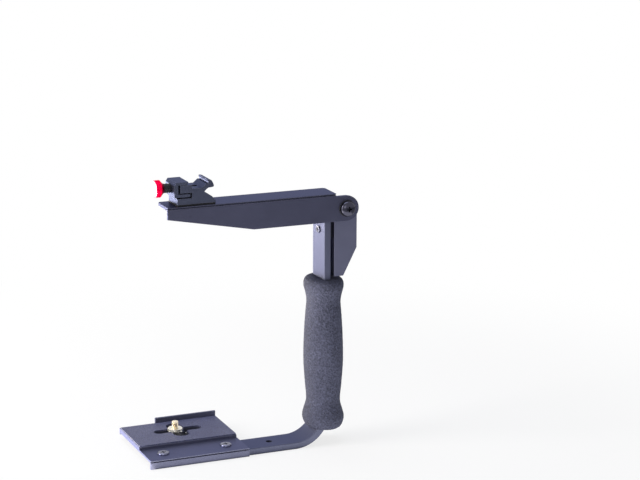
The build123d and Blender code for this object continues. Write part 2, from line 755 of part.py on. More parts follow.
# Camera screw: its thinner shank is captive in a shouldered collar, and turns with a flat knob
camera_screw_shift = -2.7  # from the slots' middle
camera_radius = 3.175
camera_shank_radius = 2.6
camera_thread_length = 6.5
camera_thread_gap = 0.25  # above the collar
camera_stud_chamfer = 0.6
collar_radius = 7.15
collar_height = 2.2
collar_lift = 0.05
collar_chamfer = 0.3
spigot_gap = 0.2  # each side in the slot
spigot_lift = 0.1
camera_knob_radius = 13.8
camera_knob_height = 5.0
camera_knob_gap = 0.35
camera_knob_edge = 0.6
camera_stud_in_knob = 4.0
camera_x = slot_x + camera_screw_shift
collar_bottom = pad_top + collar_lift
camera_thread_bottom = collar_bottom + collar_height + camera_thread_gap
camera_knob_top = bar_thickness - camera_knob_gap
camera_axis = Plane((camera_x, slot_y, 0))

with BuildPart() as camera_collar:
    with BuildSketch(camera_axis.offset(collar_bottom)):
        Circle(collar_radius)
    extrude(amount=collar_height)
    chamfer(camera_collar.edges(), length=collar_chamfer)
    with BuildSketch(camera_axis.offset(bar_thickness + spigot_lift)):
        Circle(long_slot_width / 2 - spigot_gap)
    extrude(amount=collar_bottom + collar_chamfer - bar_thickness - spigot_lift)
    with Locations((camera_x, slot_y, pad_top)):
        Hole(camera_shank_radius + running_fit)
camera_collar.part.label = "camera_collar"
export_step(camera_collar.part, "parts/camera_collar.step")

with BuildPart() as camera_screw:
    with BuildSketch(camera_axis.offset(camera_thread_bottom)):
        Circle(camera_radius)
    extrude(amount=camera_thread_length)
    chamfer(camera_screw.edges().group_by(Axis.Z)[-1], length=camera_stud_chamfer)
    with BuildSketch(camera_axis.offset(camera_knob_top - camera_stud_in_knob)):
        Circle(camera_shank_radius)
    extrude(amount=camera_thread_bottom - camera_knob_top + camera_stud_in_knob)
camera_screw.part.label = "camera_screw"
export_step(camera_screw.part, "parts/camera_screw.step")

with BuildPart() as camera_screw_knob:
    with BuildSketch(camera_axis.offset(camera_knob_top)):
        Circle(camera_knob_radius)
    extrude(amount=-camera_knob_height)
    fillet(camera_screw_knob.edges(), radius=camera_knob_edge)
    with Locations((camera_x, slot_y, camera_knob_top)):
        Hole(camera_shank_radius + running_fit, depth=camera_stud_in_knob)
camera_screw_knob.part.label = "camera_screw_knob"
export_step(camera_screw_knob.part, "parts/camera_screw_knob.step")
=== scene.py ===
"""Looks of the camera flash bracket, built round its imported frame. Metres, +Z up, -Y in front."""
import math

import bmesh
import bpy
from mathutils import Matrix, Vector


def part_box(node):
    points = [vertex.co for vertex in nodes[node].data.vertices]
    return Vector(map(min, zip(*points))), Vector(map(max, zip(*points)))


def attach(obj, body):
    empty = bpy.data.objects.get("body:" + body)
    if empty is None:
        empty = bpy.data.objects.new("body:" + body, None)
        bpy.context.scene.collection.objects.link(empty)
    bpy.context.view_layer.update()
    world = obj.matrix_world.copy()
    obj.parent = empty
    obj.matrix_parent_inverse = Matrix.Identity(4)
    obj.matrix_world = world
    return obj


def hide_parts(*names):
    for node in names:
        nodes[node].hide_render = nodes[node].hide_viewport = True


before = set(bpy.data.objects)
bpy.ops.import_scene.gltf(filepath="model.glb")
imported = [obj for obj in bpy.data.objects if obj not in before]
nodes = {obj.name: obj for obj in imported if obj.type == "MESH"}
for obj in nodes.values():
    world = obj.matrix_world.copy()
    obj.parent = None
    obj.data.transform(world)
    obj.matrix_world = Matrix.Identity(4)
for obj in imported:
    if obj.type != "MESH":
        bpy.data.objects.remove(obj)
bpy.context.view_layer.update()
MM = 0.001

# Studio: a pale seamless table, white all round, with large soft lamps. The camera
# stands in front, to the left and a little above, at the photograph's angle.
camera_place = (-0.687, -1.735, 0.6585)
camera_turn = 23.08  # degrees to the right of straight ahead
camera_dip = 13.66  # degrees below the horizon
camera_roll = 0.23  # degrees
camera_lens = 115.36
sensor_width = 36.0
table_size = 14.0
table_drop = 0.0001  # how far the table lies under the object
table_colour = (0.94, 0.94, 0.95, 1)
plain_white = (1, 1, 1, 1)
room_light = 0.26
room_colour = (0.93, 0.96, 1, 1)
shadow_reach = (0.25, 0.7)  # where the table fades to plain white, from the object's middle
near_white = 0.76  # how white the table looks near the object, where it still takes a shadow
shade_middle = (-0.075, 0.03, 0)  # under the platform's slot, where the table stays in the shade
shade_reach = (0.03, 0.045)

camera_data = bpy.data.cameras.new("camera")
camera_data.lens = camera_lens
camera_data.sensor_width = sensor_width
camera = bpy.data.objects.new("camera", camera_data)
bpy.context.scene.collection.objects.link(camera)
camera.matrix_world = (
    Matrix.Translation(camera_place)
    @ Matrix.Rotation(math.radians(-camera_turn), 4, "Z")
    @ Matrix.Rotation(math.radians(90 - camera_dip), 4, "X")
    @ Matrix.Rotation(math.radians(camera_roll), 4, "Z")
)
bpy.context.scene.camera = camera
bpy.context.scene.view_settings.view_transform = "Standard"


class Field:
    """A value that varies over a surface. Sums and products of fields add their Math nodes."""

    def __init__(self, paint, socket):
        self.paint = paint
        self.socket = socket

    def math(self, operation, first, second):
        return self.paint.node("ShaderNodeMath", {"operation": operation}, {0: first, 1: second})

    def __add__(self, other):
        return self.math("ADD", self, other)

    def __sub__(self, other):
        return self.math("SUBTRACT", self, other)

    def __rsub__(self, other):
        return self.math("SUBTRACT", other, self)

    def __mul__(self, other):
        return self.math("MULTIPLY", self, other)

    def __gt__(self, other):
        return self.math("GREATER_THAN", self, other)

    __radd__ = __add__
    __rmul__ = __mul__


class Paint:
    """The nodes of one material or of the world."""

    def __init__(self, holder):
        holder.use_nodes = True
        self.tree = holder.node_tree
        self.tree.nodes.clear()

    def node(self, kind, settings, inputs, output=0):
        made = self.tree.nodes.new(kind)
        for name, value in settings.items():
            setattr(made, name, value)
        for name, value in inputs.items():
            if isinstance(value, Field):
                self.tree.links.new(value.socket, made.inputs[name])
            else:
                made.inputs[name].default_value = value
        return Field(self, made.outputs[output])

    def place(self):
        return self.node("ShaderNodeTexCoord", {}, {}, "Object")

    def stretched(self, scale):
        return self.node("ShaderNodeMapping", {}, {"Vector": self.place(), "Scale": scale})

    def noise(self, scale, detail, at=None):
        inputs = {"Vector": at or self.place(), "Scale": scale, "Detail": detail}
        return self.node("ShaderNodeTexNoise", {}, inputs, "Fac")

    def ramp(self, value, low, high):
        """0 where the value is under low, 1 where it is over high, and smooth between them."""
        settings = {"interpolation_type": "SMOOTHSTEP"}
        inputs = {"Value": value, "From Min": low, "From Max": high}
        return self.node("ShaderNodeMapRange", settings, inputs)

    def between(self, factor, low, high):
        return self.node("ShaderNodeMix", {"data_type": "RGBA"}, {0: factor, 6: low, 7: high}, 2)

    def mixed(self, factor, first, second):
        """The first surface where the factor is 0, the second where it is 1."""
        return self.node("ShaderNodeMixShader", {}, {0: factor, 1: first, 2: second})

    def ray(self, kind):
        return self.node("ShaderNodeLightPath", {}, {}, kind)

    def cells(self, feature, size):
        inputs = {"Vector": self.place(), "Scale": 1 / size}
        return self.node("ShaderNodeTexVoronoi", {"feature": feature}, inputs)

    def bump(self, height, depth):
        return self.node("ShaderNodeBump", {}, {"Height": height, "Distance": depth})

    def edges(self, reach):
        """More than 0 within reach of an edge, from how much the surface turns there."""
        rounded = self.node("ShaderNodeBevel", {"samples": 4}, {"Radius": reach}, "Normal")
        flat = self.node("ShaderNodeNewGeometry", {}, {}, "Normal")
        settings = {"operation": "DOT_PRODUCT"}
        return 1 - self.node("ShaderNodeVectorMath", settings, {0: rounded, 1: flat}, "Value")

    def principled(self, inputs):
        return self.node("ShaderNodeBsdfPrincipled", {}, inputs)

    def finish(self, surface, output="ShaderNodeOutputMaterial"):
        end = self.tree.nodes.new(output)
        self.tree.links.new(surface.socket, end.inputs["Surface"])


world = bpy.data.worlds.new("studio")
bpy.context.scene.world = world
air = Paint(world)
looked_at = air.ray("Is Camera Ray") + air.ray("Is Glossy Ray") + air.ray("Is Transmission Ray")
white = air.node("ShaderNodeBackground", {}, {"Color": plain_white, "Strength": 1.0})
dim = air.node("ShaderNodeBackground", {}, {"Color": room_colour, "Strength": room_light})
air.finish(air.mixed(looked_at > 0.5, dim, white), "ShaderNodeOutputWorld")


def soft_lamp(name, place, target, size, power, colour):
    """A rectangular lamp that the camera doesn't see."""
    lamp = bpy.data.lights.new(name, "AREA")
    lamp.shape = "RECTANGLE"
    lamp.size, lamp.size_y = size
    lamp.energy = power
    lamp.color = colour
    holder = bpy.data.objects.new(name, lamp)
    bpy.context.scene.collection.objects.link(holder)
    holder.visible_camera = False
    holder.location = place
    holder.rotation_euler = (Vector(target) - Vector(place)).to_track_quat("-Z", "Y").to_euler()


soft_lamp("left lamp", (-1.8, 0.1, 0.7), (0, 0, 0.13), (1.0, 1.4), 42.0, (1.0, 0.96, 0.9))
soft_lamp("sheen lamp", (-0.7, 1.2, 0.09), (-0.05, 0, 0.1), (1.0, 0.16), 18.5, (1.0, 0.91, 0.68))
soft_lamp("top lamp", (-0.2, 0.3, 2.0), (-0.03, 0, 0.1), (1.4, 1.4), 14.0, (0.8, 0.86, 1.0))
soft_lamp("front lamp", (-0.9, -2.2, 0.9), (0, 0, 0.12), (1.2, 1.2), 8.0, (1.0, 0.98, 0.97))
# Two more lie on the table and light the low faces from below, as a lit table does.
glow_rise = 0.0001
for name, place, size, power, colour in (
    ("table glow in front", (-0.03, -0.22), (0.7, 0.4), 1.3, (1.0, 0.99, 0.96)),
    ("table glow at the left", (-0.32, 0.1), (0.4, 0.6), 3.4, (1.0, 0.95, 0.82)),
):
    soft_lamp(name, place + (glow_rise,), place + (1,), size, power, colour)

bpy.ops.object.select_all(action="DESELECT")
bpy.ops.mesh.primitive_plane_add(size=table_size, location=(0, 0, -table_drop))
table = bpy.context.object
table.name = "table"
table_material = bpy.data.materials.new("table")
paper = Paint(table_material)
measure = {"operation": "DISTANCE"}
from_middle = paper.node("ShaderNodeVectorMath", measure, {0: paper.place(), 1: (0, 0, 0)}, "Value")
from_shade = paper.node("ShaderNodeVectorMath", measure, {0: paper.place(), 1: shade_middle}, "Value")
clear = paper.ramp(from_middle, *shadow_reach)
lit = paper.ramp(from_shade, *shade_reach)
sheet = paper.principled({"Base Color": table_colour, "Roughness": 0.9})
glow = paper.node("ShaderNodeEmission", {}, {"Color": plain_white, "Strength": 1.0})
whiteness = near_white * lit + (1 - near_white) * clear
paper.finish(paper.mixed(paper.ray("Is Camera Ray") * whiteness, sheet, glow))
table.data.materials.append(table_material)


# Bent bar, 28.6 x 6.35 mm flat aluminium, bead blasted and anodised a blue black. Fine grain,
# faint draw lines along it, cloudy dye, and a lighter grey along the edges: bare metal on rubbed
# edges and a painted highlight along every edge.
along_x = (0.02, 1, 1)  # stretches the draw lines along X
along_z = (1, 1, 0.02)
soft_edge_tint = (0.44, 0.47, 0.68, 1)
# The edge colour is a lighter blue grey: partly bare metal where edges rub, partly a painted
# highlight.
worn_and_highlight_colour = (0.36, 0.36, 0.42, 1)
wear_and_highlight_reach = 0.3 * MM
wear_and_highlight_share = 0.45  # how far a rubbed edge turns to the worn colour


def shade(colour, share):
    """The colour made darker or lighter, with its alpha."""
    return tuple(min(1, share * part) for part in colour) + (1,)


def anodised(name, colour, roughness, along, edge_tint=soft_edge_tint):
    material = bpy.data.materials.new(name)
    paint = Paint(material)
    clouds = paint.noise(32.0, 3.0)
    grain = paint.noise(2400.0, 2.0)
    lines = paint.noise(420.0, 2.0, paint.stretched(along))
    # The edges are lightened: partly bare metal where they rub, partly a painted highlight along
    # every edge.
    rubbed_and_lit = paint.ramp(paint.edges(wear_and_highlight_reach) * (0.4 + paint.noise(190.0, 3.0)), 0.05, 0.28)
    dyed = paint.between(clouds, shade(colour, 0.86), shade(colour, 1.14))
    inputs = {
        "Base Color": paint.between(wear_and_highlight_share * rubbed_and_lit, dyed, worn_and_highlight_colour),
        "Metallic": 0.85,
        "Specular IOR Level": 0.25,
        "Specular Tint": edge_tint,
        "Roughness": roughness + 0.07 * clouds + 0.06 * grain,
        "Normal": paint.bump(grain + 0.6 * lines, 0.02 * MM),
    }
    paint.finish(paint.principled(inputs))
    return material


def dress(node, material):
    for slot in nodes[node].material_slots:
        slot.material = material


bar_tint = (0.48, 0.51, 0.78, 1)
bar_black = anodised("bar_black", (0.077, 0.082, 0.123), 0.35, along_z, bar_tint)
dress("frame_bar", bar_black)


# Foam grip: one closed-cell foam sleeve, moulded oval with a swollen ring at each end and
# pushed over the post. Its skin is rough, with fine burst cells, darker in their pits as painted
# shade.
grip_sides = 96
grip_x = 56.075 * MM
grip_half = 19.6 * MM  # half the widest part, along X
grip_flat = 4.0 * MM  # how much more it reaches along Y
grip_rises = (0, 0.017, 0.068, 0.117, 0.177, 0.3, 0.45, 0.63, 0.755, 0.845, 0.896, 0.944, 0.98, 1)
grip_girths = (0.74, 0.88, 1, 0.92, 0.8, 0.87, 0.94, 0.91, 0.85, 0.8, 0.86, 0.95, 0.91, 0.77)
ring_step = 2.0 * MM
foam_colour = (0.055, 0.058, 0.092)
foam_cell = 1.7 * MM
foam_lump = 1.6 * MM
foam_lump_height = 0.35 * MM
grip_edge = 1.6 * MM
grip_edge_angle = 50.0  # degrees, over which an edge is rounded
grip_crease = 60.0
post_room = 0.2 * MM  # how far the foam's bore stands off the post
weld = 0.001 * MM  # vertices nearer than this are joined


def deselect():
    bpy.ops.object.select_all(action="DESELECT")


def pick(piece):
    """Selects the piece alone and makes it the active one."""
    deselect()
    piece.select_set(True)
    bpy.context.view_layer.objects.active = piece


def leave_edit(piece, name, material, crease=35.0):
    """Turns the faces outwards, smooths all but the creases and gives the piece its finish."""
    if bpy.context.mode == "OBJECT":
        bpy.ops.object.mode_set(mode="EDIT")
    bpy.ops.mesh.select_all(action="SELECT")
    bpy.ops.mesh.normals_make_consistent(inside=False)
    bpy.ops.object.mode_set(mode="OBJECT")
    bpy.ops.object.transform_apply(location=True, rotation=True, scale=True)
    bpy.ops.object.shade_smooth_by_angle(angle=math.radians(crease))
    piece.name = name
    piece.data.materials.clear()
    piece.data.materials.append(material)


def apply_modifier(piece, kind, **settings):
    modifier = piece.modifiers.new(kind.lower(), kind)
    for name, value in settings.items():
        setattr(modifier, name, value)
    bpy.ops.object.modifier_apply(modifier=modifier.name)


def combine(piece, other, operation):
    """Cuts the piece by the other one, joins them or keeps what they share. The other one goes."""
    pick(piece)
    apply_modifier(piece, "BOOLEAN", object=other, operation=operation, solver="EXACT")
    bpy.data.objects.remove(other)


def smooth_share(shares, rises, at):
    """The share at a height, on a smooth curve through the given ones."""
    count = len(rises)
    left = max(i for i in range(count - 1) if rises[i] <= at)
    slopes = []
    for i in (left, left + 1):
        before, after = max(i - 1, 0), min(i + 1, count - 1)
        slopes.append((shares[after] - shares[before]) / (rises[after] - rises[before]))
    gap = rises[left + 1] - rises[left]
    t = (at - rises[left]) / gap
    start, end = shares[left], shares[left + 1]
    return (
        start * (2 * t**3 - 3 * t**2 + 1)
        + slopes[0] * gap * (t**3 - 2 * t**2 + t)
        + end * (3 * t**2 - 2 * t**3)
        + slopes[1] * gap * (t**3 - t**2)
    )


def foam(name, colour, cell):
    material = bpy.data.materials.new(name)
    paint = Paint(material)
    cells = paint.cells("F1", cell)
    speckle = paint.noise(520.0, 4.0)
    patches = paint.noise(45.0, 3.0)
    # Cell pits and the low parts of the speckle are painted darker and the raised parts lighter, as
    # painted shade and highlight; the patches are the foam's own uneven tone.
    mottling_and_cell_shade = 0.6 * cells + 0.9 * speckle + 0.4 * patches - 0.6
    inputs = {
        "Base Color": paint.between(mottling_and_cell_shade, shade(colour, 0.5), shade(colour, 1.75)),
        "Roughness": 0.86 + 0.1 * speckle,
        "Specular IOR Level": 0.2,
        "Normal": paint.bump(cells + speckle, 0.6 * MM),
    }
    paint.finish(paint.principled(inputs))
    return material


grip_low, grip_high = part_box("grip")
grip_length = grip_high.z - grip_low.z
ring_count = round(grip_length / ring_step)
deselect()
start_radius = 1.0
bpy.ops.mesh.primitive_circle_add(
    vertices=grip_sides,
    radius=start_radius,
    fill_type="NGON",
    location=(grip_x, 0, grip_low.z),
    enter_editmode=True,
)
grip = bpy.context.object
half = start_radius
wide = start_radius
for ring in range(ring_count + 1):
    rise = ring / ring_count
    new_half = grip_half * smooth_share(grip_girths, grip_rises, rise)
    new_wide = new_half + grip_flat
    height = grip_low.z + grip_length * rise
    if ring:
        step = (0, 0, grip_length / ring_count)
        bpy.ops.mesh.extrude_region_move(TRANSFORM_OT_translate={"value": step})
    bpy.ops.transform.resize(
        value=(new_half / half, new_wide / wide, 1), center_override=(grip_x, 0, height)
    )
    half = new_half
    wide = new_wide
bpy.ops.mesh.select_all(action="SELECT")
bpy.ops.mesh.normals_make_consistent(inside=False)
bpy.ops.object.mode_set(mode="OBJECT")
bpy.ops.object.transform_apply(location=True, rotation=True, scale=True)
edge_angle = math.radians(grip_edge_angle)
apply_modifier(grip, "BEVEL", width=grip_edge, segments=3, angle_limit=edge_angle)
apply_modifier(grip, "SUBSURF", levels=1, render_levels=1)
skin = bpy.data.textures.new("foam_skin", "CLOUDS")
skin.noise_scale = foam_lump
apply_modifier(grip, "DISPLACE", texture=skin, texture_coords="LOCAL", strength=foam_lump_height)

# The post itself, a little swollen, cuts the foam's bore.
post = nodes["frame_bar"].copy()
post.data = nodes["frame_bar"].data.copy()
bpy.context.scene.collection.objects.link(post)
post.parent = None
post.matrix_world = Matrix.Identity(4)
pick(post)
bpy.ops.object.mode_set(mode="EDIT")
bpy.ops.mesh.select_all(action="SELECT")
bpy.ops.mesh.remove_doubles(threshold=2 * weld)
bpy.ops.transform.shrink_fatten(value=post_room)
bpy.ops.object.mode_set(mode="OBJECT")
combine(grip, post, "DIFFERENCE")
leave_edit(grip, "foam_grip", foam("foam_rubber", foam_colour, foam_cell), grip_crease)
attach(grip, "bracket")
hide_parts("grip")


# Camera platform: one extruded aluminium section, sawn to length, milled for the slots and
# anodised. Draw lines run along it.
platform_tint = (0.51, 0.54, 0.84, 1)
platform_black = anodised("platform_black", (0.096, 0.1, 0.15), 0.36, along_x, platform_tint)
dress("platform", platform_black)


# Pads: a sheet of black rubber glued on the platform, pebbled like leather, and a thin plain
# one under the flash shoe. Both carry painted shade in the hollows between pebbles and lighter pebble
# tops.
def rubber(name, colour, cell, depth, roughness):
    material = bpy.data.materials.new(name)
    paint = Paint(material)
    pebbles = paint.cells("SMOOTH_F1", cell)
    patches = paint.noise(60.0, 3.0)
    # The hollows between pebbles are painted darker and the pebble tops lighter, as painted shade and
    # highlight; the patches are the rubber's own uneven tone.
    shaded_hollows = 1.4 * pebbles + 0.4 * patches - 0.2
    inputs = {
        "Base Color": paint.between(shaded_hollows, shade(colour, 1.4), shade(colour, 0.75)),
        "Roughness": roughness + 0.16 * patches,
        "Specular IOR Level": 0.3,
        "Normal": paint.bump(1 - pebbles, depth),
    }
    paint.finish(paint.principled(inputs))
    return material


dress("platform_pad", rubber("pebbled_rubber", (0.08, 0.085, 0.16), 1.15 * MM, 0.7 * MM, 0.5))
dress("shoe_pad", rubber("thin_rubber", (0.006, 0.006, 0.009), 1.6 * MM, 0.1 * MM, 0.75))


# Screws: low pan heads with a cross recess, in black nickel for the platform and the channel,
# and zinc for the nuts, the spring washer behind and the ring on the clamp's rod.
def plated(name, colour, roughness):
    material = bpy.data.materials.new(name)
    paint = Paint(material)
    marks = paint.noise(1500.0, 2.0)
    clouds = paint.noise(120.0, 2.0)
    inputs = {
        "Base Color": paint.between(clouds, shade(colour, 0.84), shade(colour, 1.1)),
        "Metallic": 1.0,
        "Roughness": roughness + 0.1 * marks,
        "Normal": paint.bump(marks, 0.01 * MM),
    }
    paint.finish(paint.principled(inputs))
    return material


black_nickel = plated("black_nickel", (0.15, 0.155, 0.23), 0.1)
zinc = plated("zinc", (0.6, 0.61, 0.64), 0.28)
for name in ("platform_screws", "head_screws"):
    dress(name, black_nickel)
for name in ("head_nuts", "pivot_lock_washer", "pivot_nut", "clamp_clip"):
    dress(name, zinc)


# Head of the post: an extruded channel, sawn and rounded at the top, and the flat spacer
# that holds it off the post, made near black as painted shade in the slit between them.
channel_black = anodised("channel_black", (0.097, 0.1, 0.15), 0.36, along_z)
# The spacer's near black is painted shade: it stands in the dark slit between the post and the
# channel.
spacer_painted_shade = anodised("spacer_painted_shade", (0.03, 0.031, 0.04), 0.42, along_z)
dress("head_bracket", channel_black)
dress("head_spacer", spacer_painted_shade)


# Flip arm: an aluminium angle, sawn to a taper towards its tip, anodised and left bare. Its
# plastic washers and bush are moulded.
def plastic(name, colour, roughness):
    material = bpy.data.materials.new(name)
    paint = Paint(material)
    skin = paint.noise(1800.0, 3.0)
    clouds = paint.noise(90.0, 2.0)
    inputs = {
        "Base Color": paint.between(clouds, shade(colour, 0.82), shade(colour, 1.18)),
        "Roughness": roughness + 0.12 * skin,
        "Specular IOR Level": 0.3,
        "Normal": paint.bump(skin, 0.04 * MM),
    }
    paint.finish(paint.principled(inputs))
    return material


arm_black = anodised("arm_black", (0.06, 0.062, 0.099), 0.34, along_x)
black_plastic = plastic("black_plastic", (0.012, 0.012, 0.017), 0.38)
nylon = plastic("nylon", (0.7, 0.7, 0.68), 0.45)
dress("flip_arm", arm_black)
dress("pivot_washer", black_plastic)
for name in ("pivot_bush", "pivot_friction_washer", "shoe_lock_washer"):
    dress(name, nylon)


# Pivot screw: a black nickel steel machine screw with a high dome and a stamped cross recess.
# It holds the arm on the channel's front wall.
lathe_sides = 64
pivot_sides = 72
pivot_bolt_radius = 3.0 * MM
pivot_bolt_edge = 0.4 * MM
pivot_head_height = 5.2 * MM
# The dome: its heights over the head's back, and the share of the head's radius at each.
pivot_rises = (0.3 * MM, 1.5 * MM, 2.5 * MM, 3.45 * MM, 4.25 * MM, 4.84 * MM, 5.12 * MM)
pivot_girths = (1, 1, 0.965, 0.87, 0.71, 0.48, 0.24)
recess_length = 8.0 * MM
recess_width = 1.9 * MM
recess_depth = 3.0 * MM
recess_taper = 0.4  # how much of the recess is left at its bottom


def draw_line(places):
    """A new piece in edit mode: one point, drawn out from place to place."""
    deselect()
    bpy.ops.mesh.primitive_plane_add(size=MM, location=(0, 0, 0), enter_editmode=True)
    bpy.ops.mesh.select_mode(type="VERT")
    bpy.ops.mesh.select_all(action="SELECT")
    bpy.ops.mesh.merge(type="CENTER")
    bpy.ops.transform.translate(value=places[0])
    for before, after in zip(places, places[1:]):
        bpy.ops.mesh.extrude_region_move(TRANSFORM_OT_translate={"value": after - before})


def join_doubles():
    bpy.ops.mesh.select_all(action="SELECT")
    bpy.ops.mesh.remove_doubles(threshold=weld)


def lathed(profile, centre, axis, sides=lathe_sides):
    """Turns a profile of (radius, height along the axis) points round the axis, as on a lathe."""
    axis = Vector(axis)
    outwards = axis.orthogonal().normalized()
    places = [Vector(centre) + outwards * radius + axis * height for radius, height in profile]
    draw_line(places + places[:1])
    join_doubles()
    bpy.ops.mesh.spin(steps=sides, angle=math.tau, center=centre, axis=axis)
    join_doubles()
    bpy.ops.mesh.delete_loose()
    bpy.ops.mesh.select_all(action="SELECT")
    bpy.ops.mesh.normals_make_consistent(inside=False)
    return bpy.context.object


def pick_faces(piece, wanted):
    """Selects the faces whose middle and direction pass the test."""
    bpy.ops.mesh.select_mode(type="FACE")
    bpy.ops.mesh.select_all(action="DESELECT")
    mesh = bmesh.from_edit_mesh(piece.data)
    for face in mesh.faces:
        face.select_set(wanted(face.calc_center_median(), face.normal))
    bmesh.update_edit_mesh(piece.data)


pivot_low, pivot_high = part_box("pivot_screw")
pivot_x = (pivot_low.x + pivot_high.x) / 2
pivot_z = (pivot_low.z + pivot_high.z) / 2
pivot_radius = (pivot_high.x - pivot_low.x) / 2
head_back = pivot_low.y + pivot_head_height
dome_top = (pivot_x, pivot_low.y, pivot_z)
bolt_end = head_back - pivot_high.y
pivot_profile = [
    (0, bolt_end),
    (pivot_bolt_radius - pivot_bolt_edge, bolt_end),
    (pivot_bolt_radius, bolt_end + pivot_bolt_edge),
    (pivot_bolt_radius, 0),
    (pivot_radius - pivot_rises[0], 0),
]
pivot_profile += [(pivot_radius * girth, rise) for girth, rise in zip(pivot_girths, pivot_rises)]
pivot_profile.append((0, pivot_head_height))
pivot_bolt = lathed(pivot_profile, (pivot_x, head_back, pivot_z), (0, -1, 0), pivot_sides)
bpy.ops.object.mode_set(mode="OBJECT")
for length, width in ((recess_length, recess_width), (recess_width, recess_length)):
    deselect()
    bpy.ops.mesh.primitive_cube_add(size=1, location=dome_top, enter_editmode=True)
    bpy.ops.transform.resize(value=(length, 2 * recess_depth, width), center_override=dome_top)
    cutter = bpy.context.object
    pick_faces(cutter, lambda place, normal: normal.y > 0.5)
    bpy.ops.transform.resize(value=(recess_taper, 1, recess_taper), center_override=dome_top)
    bpy.ops.object.mode_set(mode="OBJECT")
    combine(pivot_bolt, cutter, "DIFFERENCE")
leave_edit(pivot_bolt, "pivot_screw_domed", plated("dark_nickel", (0.05, 0.05, 0.07), 0.07))
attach(pivot_bolt, "bracket")
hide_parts("pivot_screw")


# Flash shoe: a machined aluminium base with its fixed jaw, and the C-shaped jaw that slides
# on it. Both are anodised black.
shoe_black = anodised("shoe_black", (0.056, 0.062, 0.095), 0.32, along_x)
dress("shoe_base", shoe_black)
dress("shoe_jaw", shoe_black)


# Clamp of the shoe: a knurled red aluminium knob with a bright pressed cap, turned together
# with a ribbed black sleeve, on a threaded steel rod.
knurl_depth = 0.28 * MM
knurl_margin = 0.14 * MM
rim_slack = 0.1 * MM  # how far inside its radius a face still counts as on the rim
rim_length = 5.2 * MM
rim_edge = 0.5 * MM
rim_break = 0.15 * MM
cap_depth = 0.5 * MM
cap_room = 0.05 * MM
cap_edge = 0.2 * MM
cap_dish = 0.1 * MM
cap_ring = (0.7 * MM, 1.2 * MM)  # where the cap's raised ring slopes in, from its rim
rod_bore = 2.05 * MM
rod_radius = 2.0 * MM
rod_pitch = 0.7 * MM
sleeve_sides = 48
sleeve_ribs = 5
rib_depth = 0.45 * MM
rib_slope = 0.15 * MM
red_colour = (0.86, 0.003, 0.078)


def knurl(piece, centre, axis, radius, margin=knurl_margin, depth=knurl_depth):
    """Presses each face of the rim in, so that ridges stand between them."""
    centre, axis = Vector(centre), Vector(axis)

    def on_rim(place, normal):
        away = place - centre
        away -= axis * away.dot(axis)
        return away.length > radius - rim_slack and abs(normal.dot(axis)) < 0.2

    pick_faces(piece, on_rim)
    bpy.ops.mesh.inset(thickness=margin, depth=-depth, use_individual=True, use_even_offset=True)


knob_low, knob_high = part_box("clamp_knob")
clamp_y = (knob_low.y + knob_high.y) / 2
clamp_z = (knob_low.z + knob_high.z) / 2
knob_centre = (knob_low.x, clamp_y, clamp_z)
knob_radius = (knob_high.y - knob_low.y) / 2
knob_length = knob_high.x - knob_low.x
sleeve_low, sleeve_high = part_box("clamp_sleeve")
sleeve_radius = (sleeve_high.y - sleeve_low.y) / 2
cap_low, cap_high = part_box("clamp_cap")
cap_radius = (cap_high.y - cap_low.y) / 2
knob_profile = [
    (rod_bore, cap_depth),
    (cap_radius + cap_room, cap_depth),
    (cap_radius + cap_room, rim_break),
    (knob_radius - rim_edge, 0),
    (knob_radius - rim_break, rim_break),
    (knob_radius, rim_edge),
    (knob_radius, 0.5 * rim_length),
    (knob_radius, rim_length - rim_edge),
    (knob_radius - rim_break, rim_length - rim_break),
    (knob_radius - rim_edge, rim_length),
    (knob_radius - 1.6 * MM, rim_length + 1.0 * MM),
    (sleeve_radius + 0.4 * MM, knob_length - 0.3 * MM),
    (sleeve_radius, knob_length),
    (rod_bore, knob_length),
]
red_knob = lathed(knob_profile, knob_centre, (1, 0, 0))
knurl(red_knob, knob_centre, (1, 0, 0), knob_radius)
leave_edit(red_knob, "clamp_knob_red", plated("red_anodised", red_colour, 0.26))
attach(red_knob, "clamp")
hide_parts("clamp_knob")

cap_thickness = cap_high.x - cap_low.x
cap_profile = [
    (0, 1.2 * cap_dish),
    (cap_radius - cap_ring[1], cap_dish),
    (cap_radius - cap_ring[0], 0),
    (cap_radius - cap_edge, 0),
    (cap_radius, cap_edge),
    (cap_radius, cap_thickness),
    (0, cap_thickness),
]
cap = lathed(cap_profile, (cap_low.x, clamp_y, clamp_z), (1, 0, 0))
leave_edit(cap, "clamp_cap_bright", plated("bright_nickel", (0.86, 0.85, 0.85), 0.22))
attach(cap, "clamp")
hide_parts("clamp_cap")

sleeve_length = sleeve_high.x - sleeve_low.x
sleeve_profile = [(rod_bore, 0), (sleeve_radius - rib_depth, 0)]
for rib in range(sleeve_ribs):
    start = sleeve_length * (rib + 0.15) / sleeve_ribs
    end = sleeve_length * (rib + 0.85) / sleeve_ribs
    sleeve_profile += [
        (sleeve_radius - rib_depth, start),
        (sleeve_radius, start + rib_slope),
        (sleeve_radius, end - rib_slope),
        (sleeve_radius - rib_depth, end),
    ]
sleeve_profile += [(sleeve_radius - rib_depth, sleeve_length), (rod_bore, sleeve_length)]
sleeve = lathed(sleeve_profile, (sleeve_low.x, clamp_y, clamp_z), (1, 0, 0), sleeve_sides)
leave_edit(sleeve, "clamp_sleeve_ribbed", black_plastic)
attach(sleeve, "clamp")
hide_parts("clamp_sleeve")


thread_sides = 28
thread_depth = 0.6  # in pitches
thread_corners = (0, 0.38, 0.5, 0.88, 1)  # heights of one turn's corners, in pitches
thread_lead = 1.5  # in pitches, what starts before the rod's end and is cut off
thread_chamfer = 0.8  # in thread depths


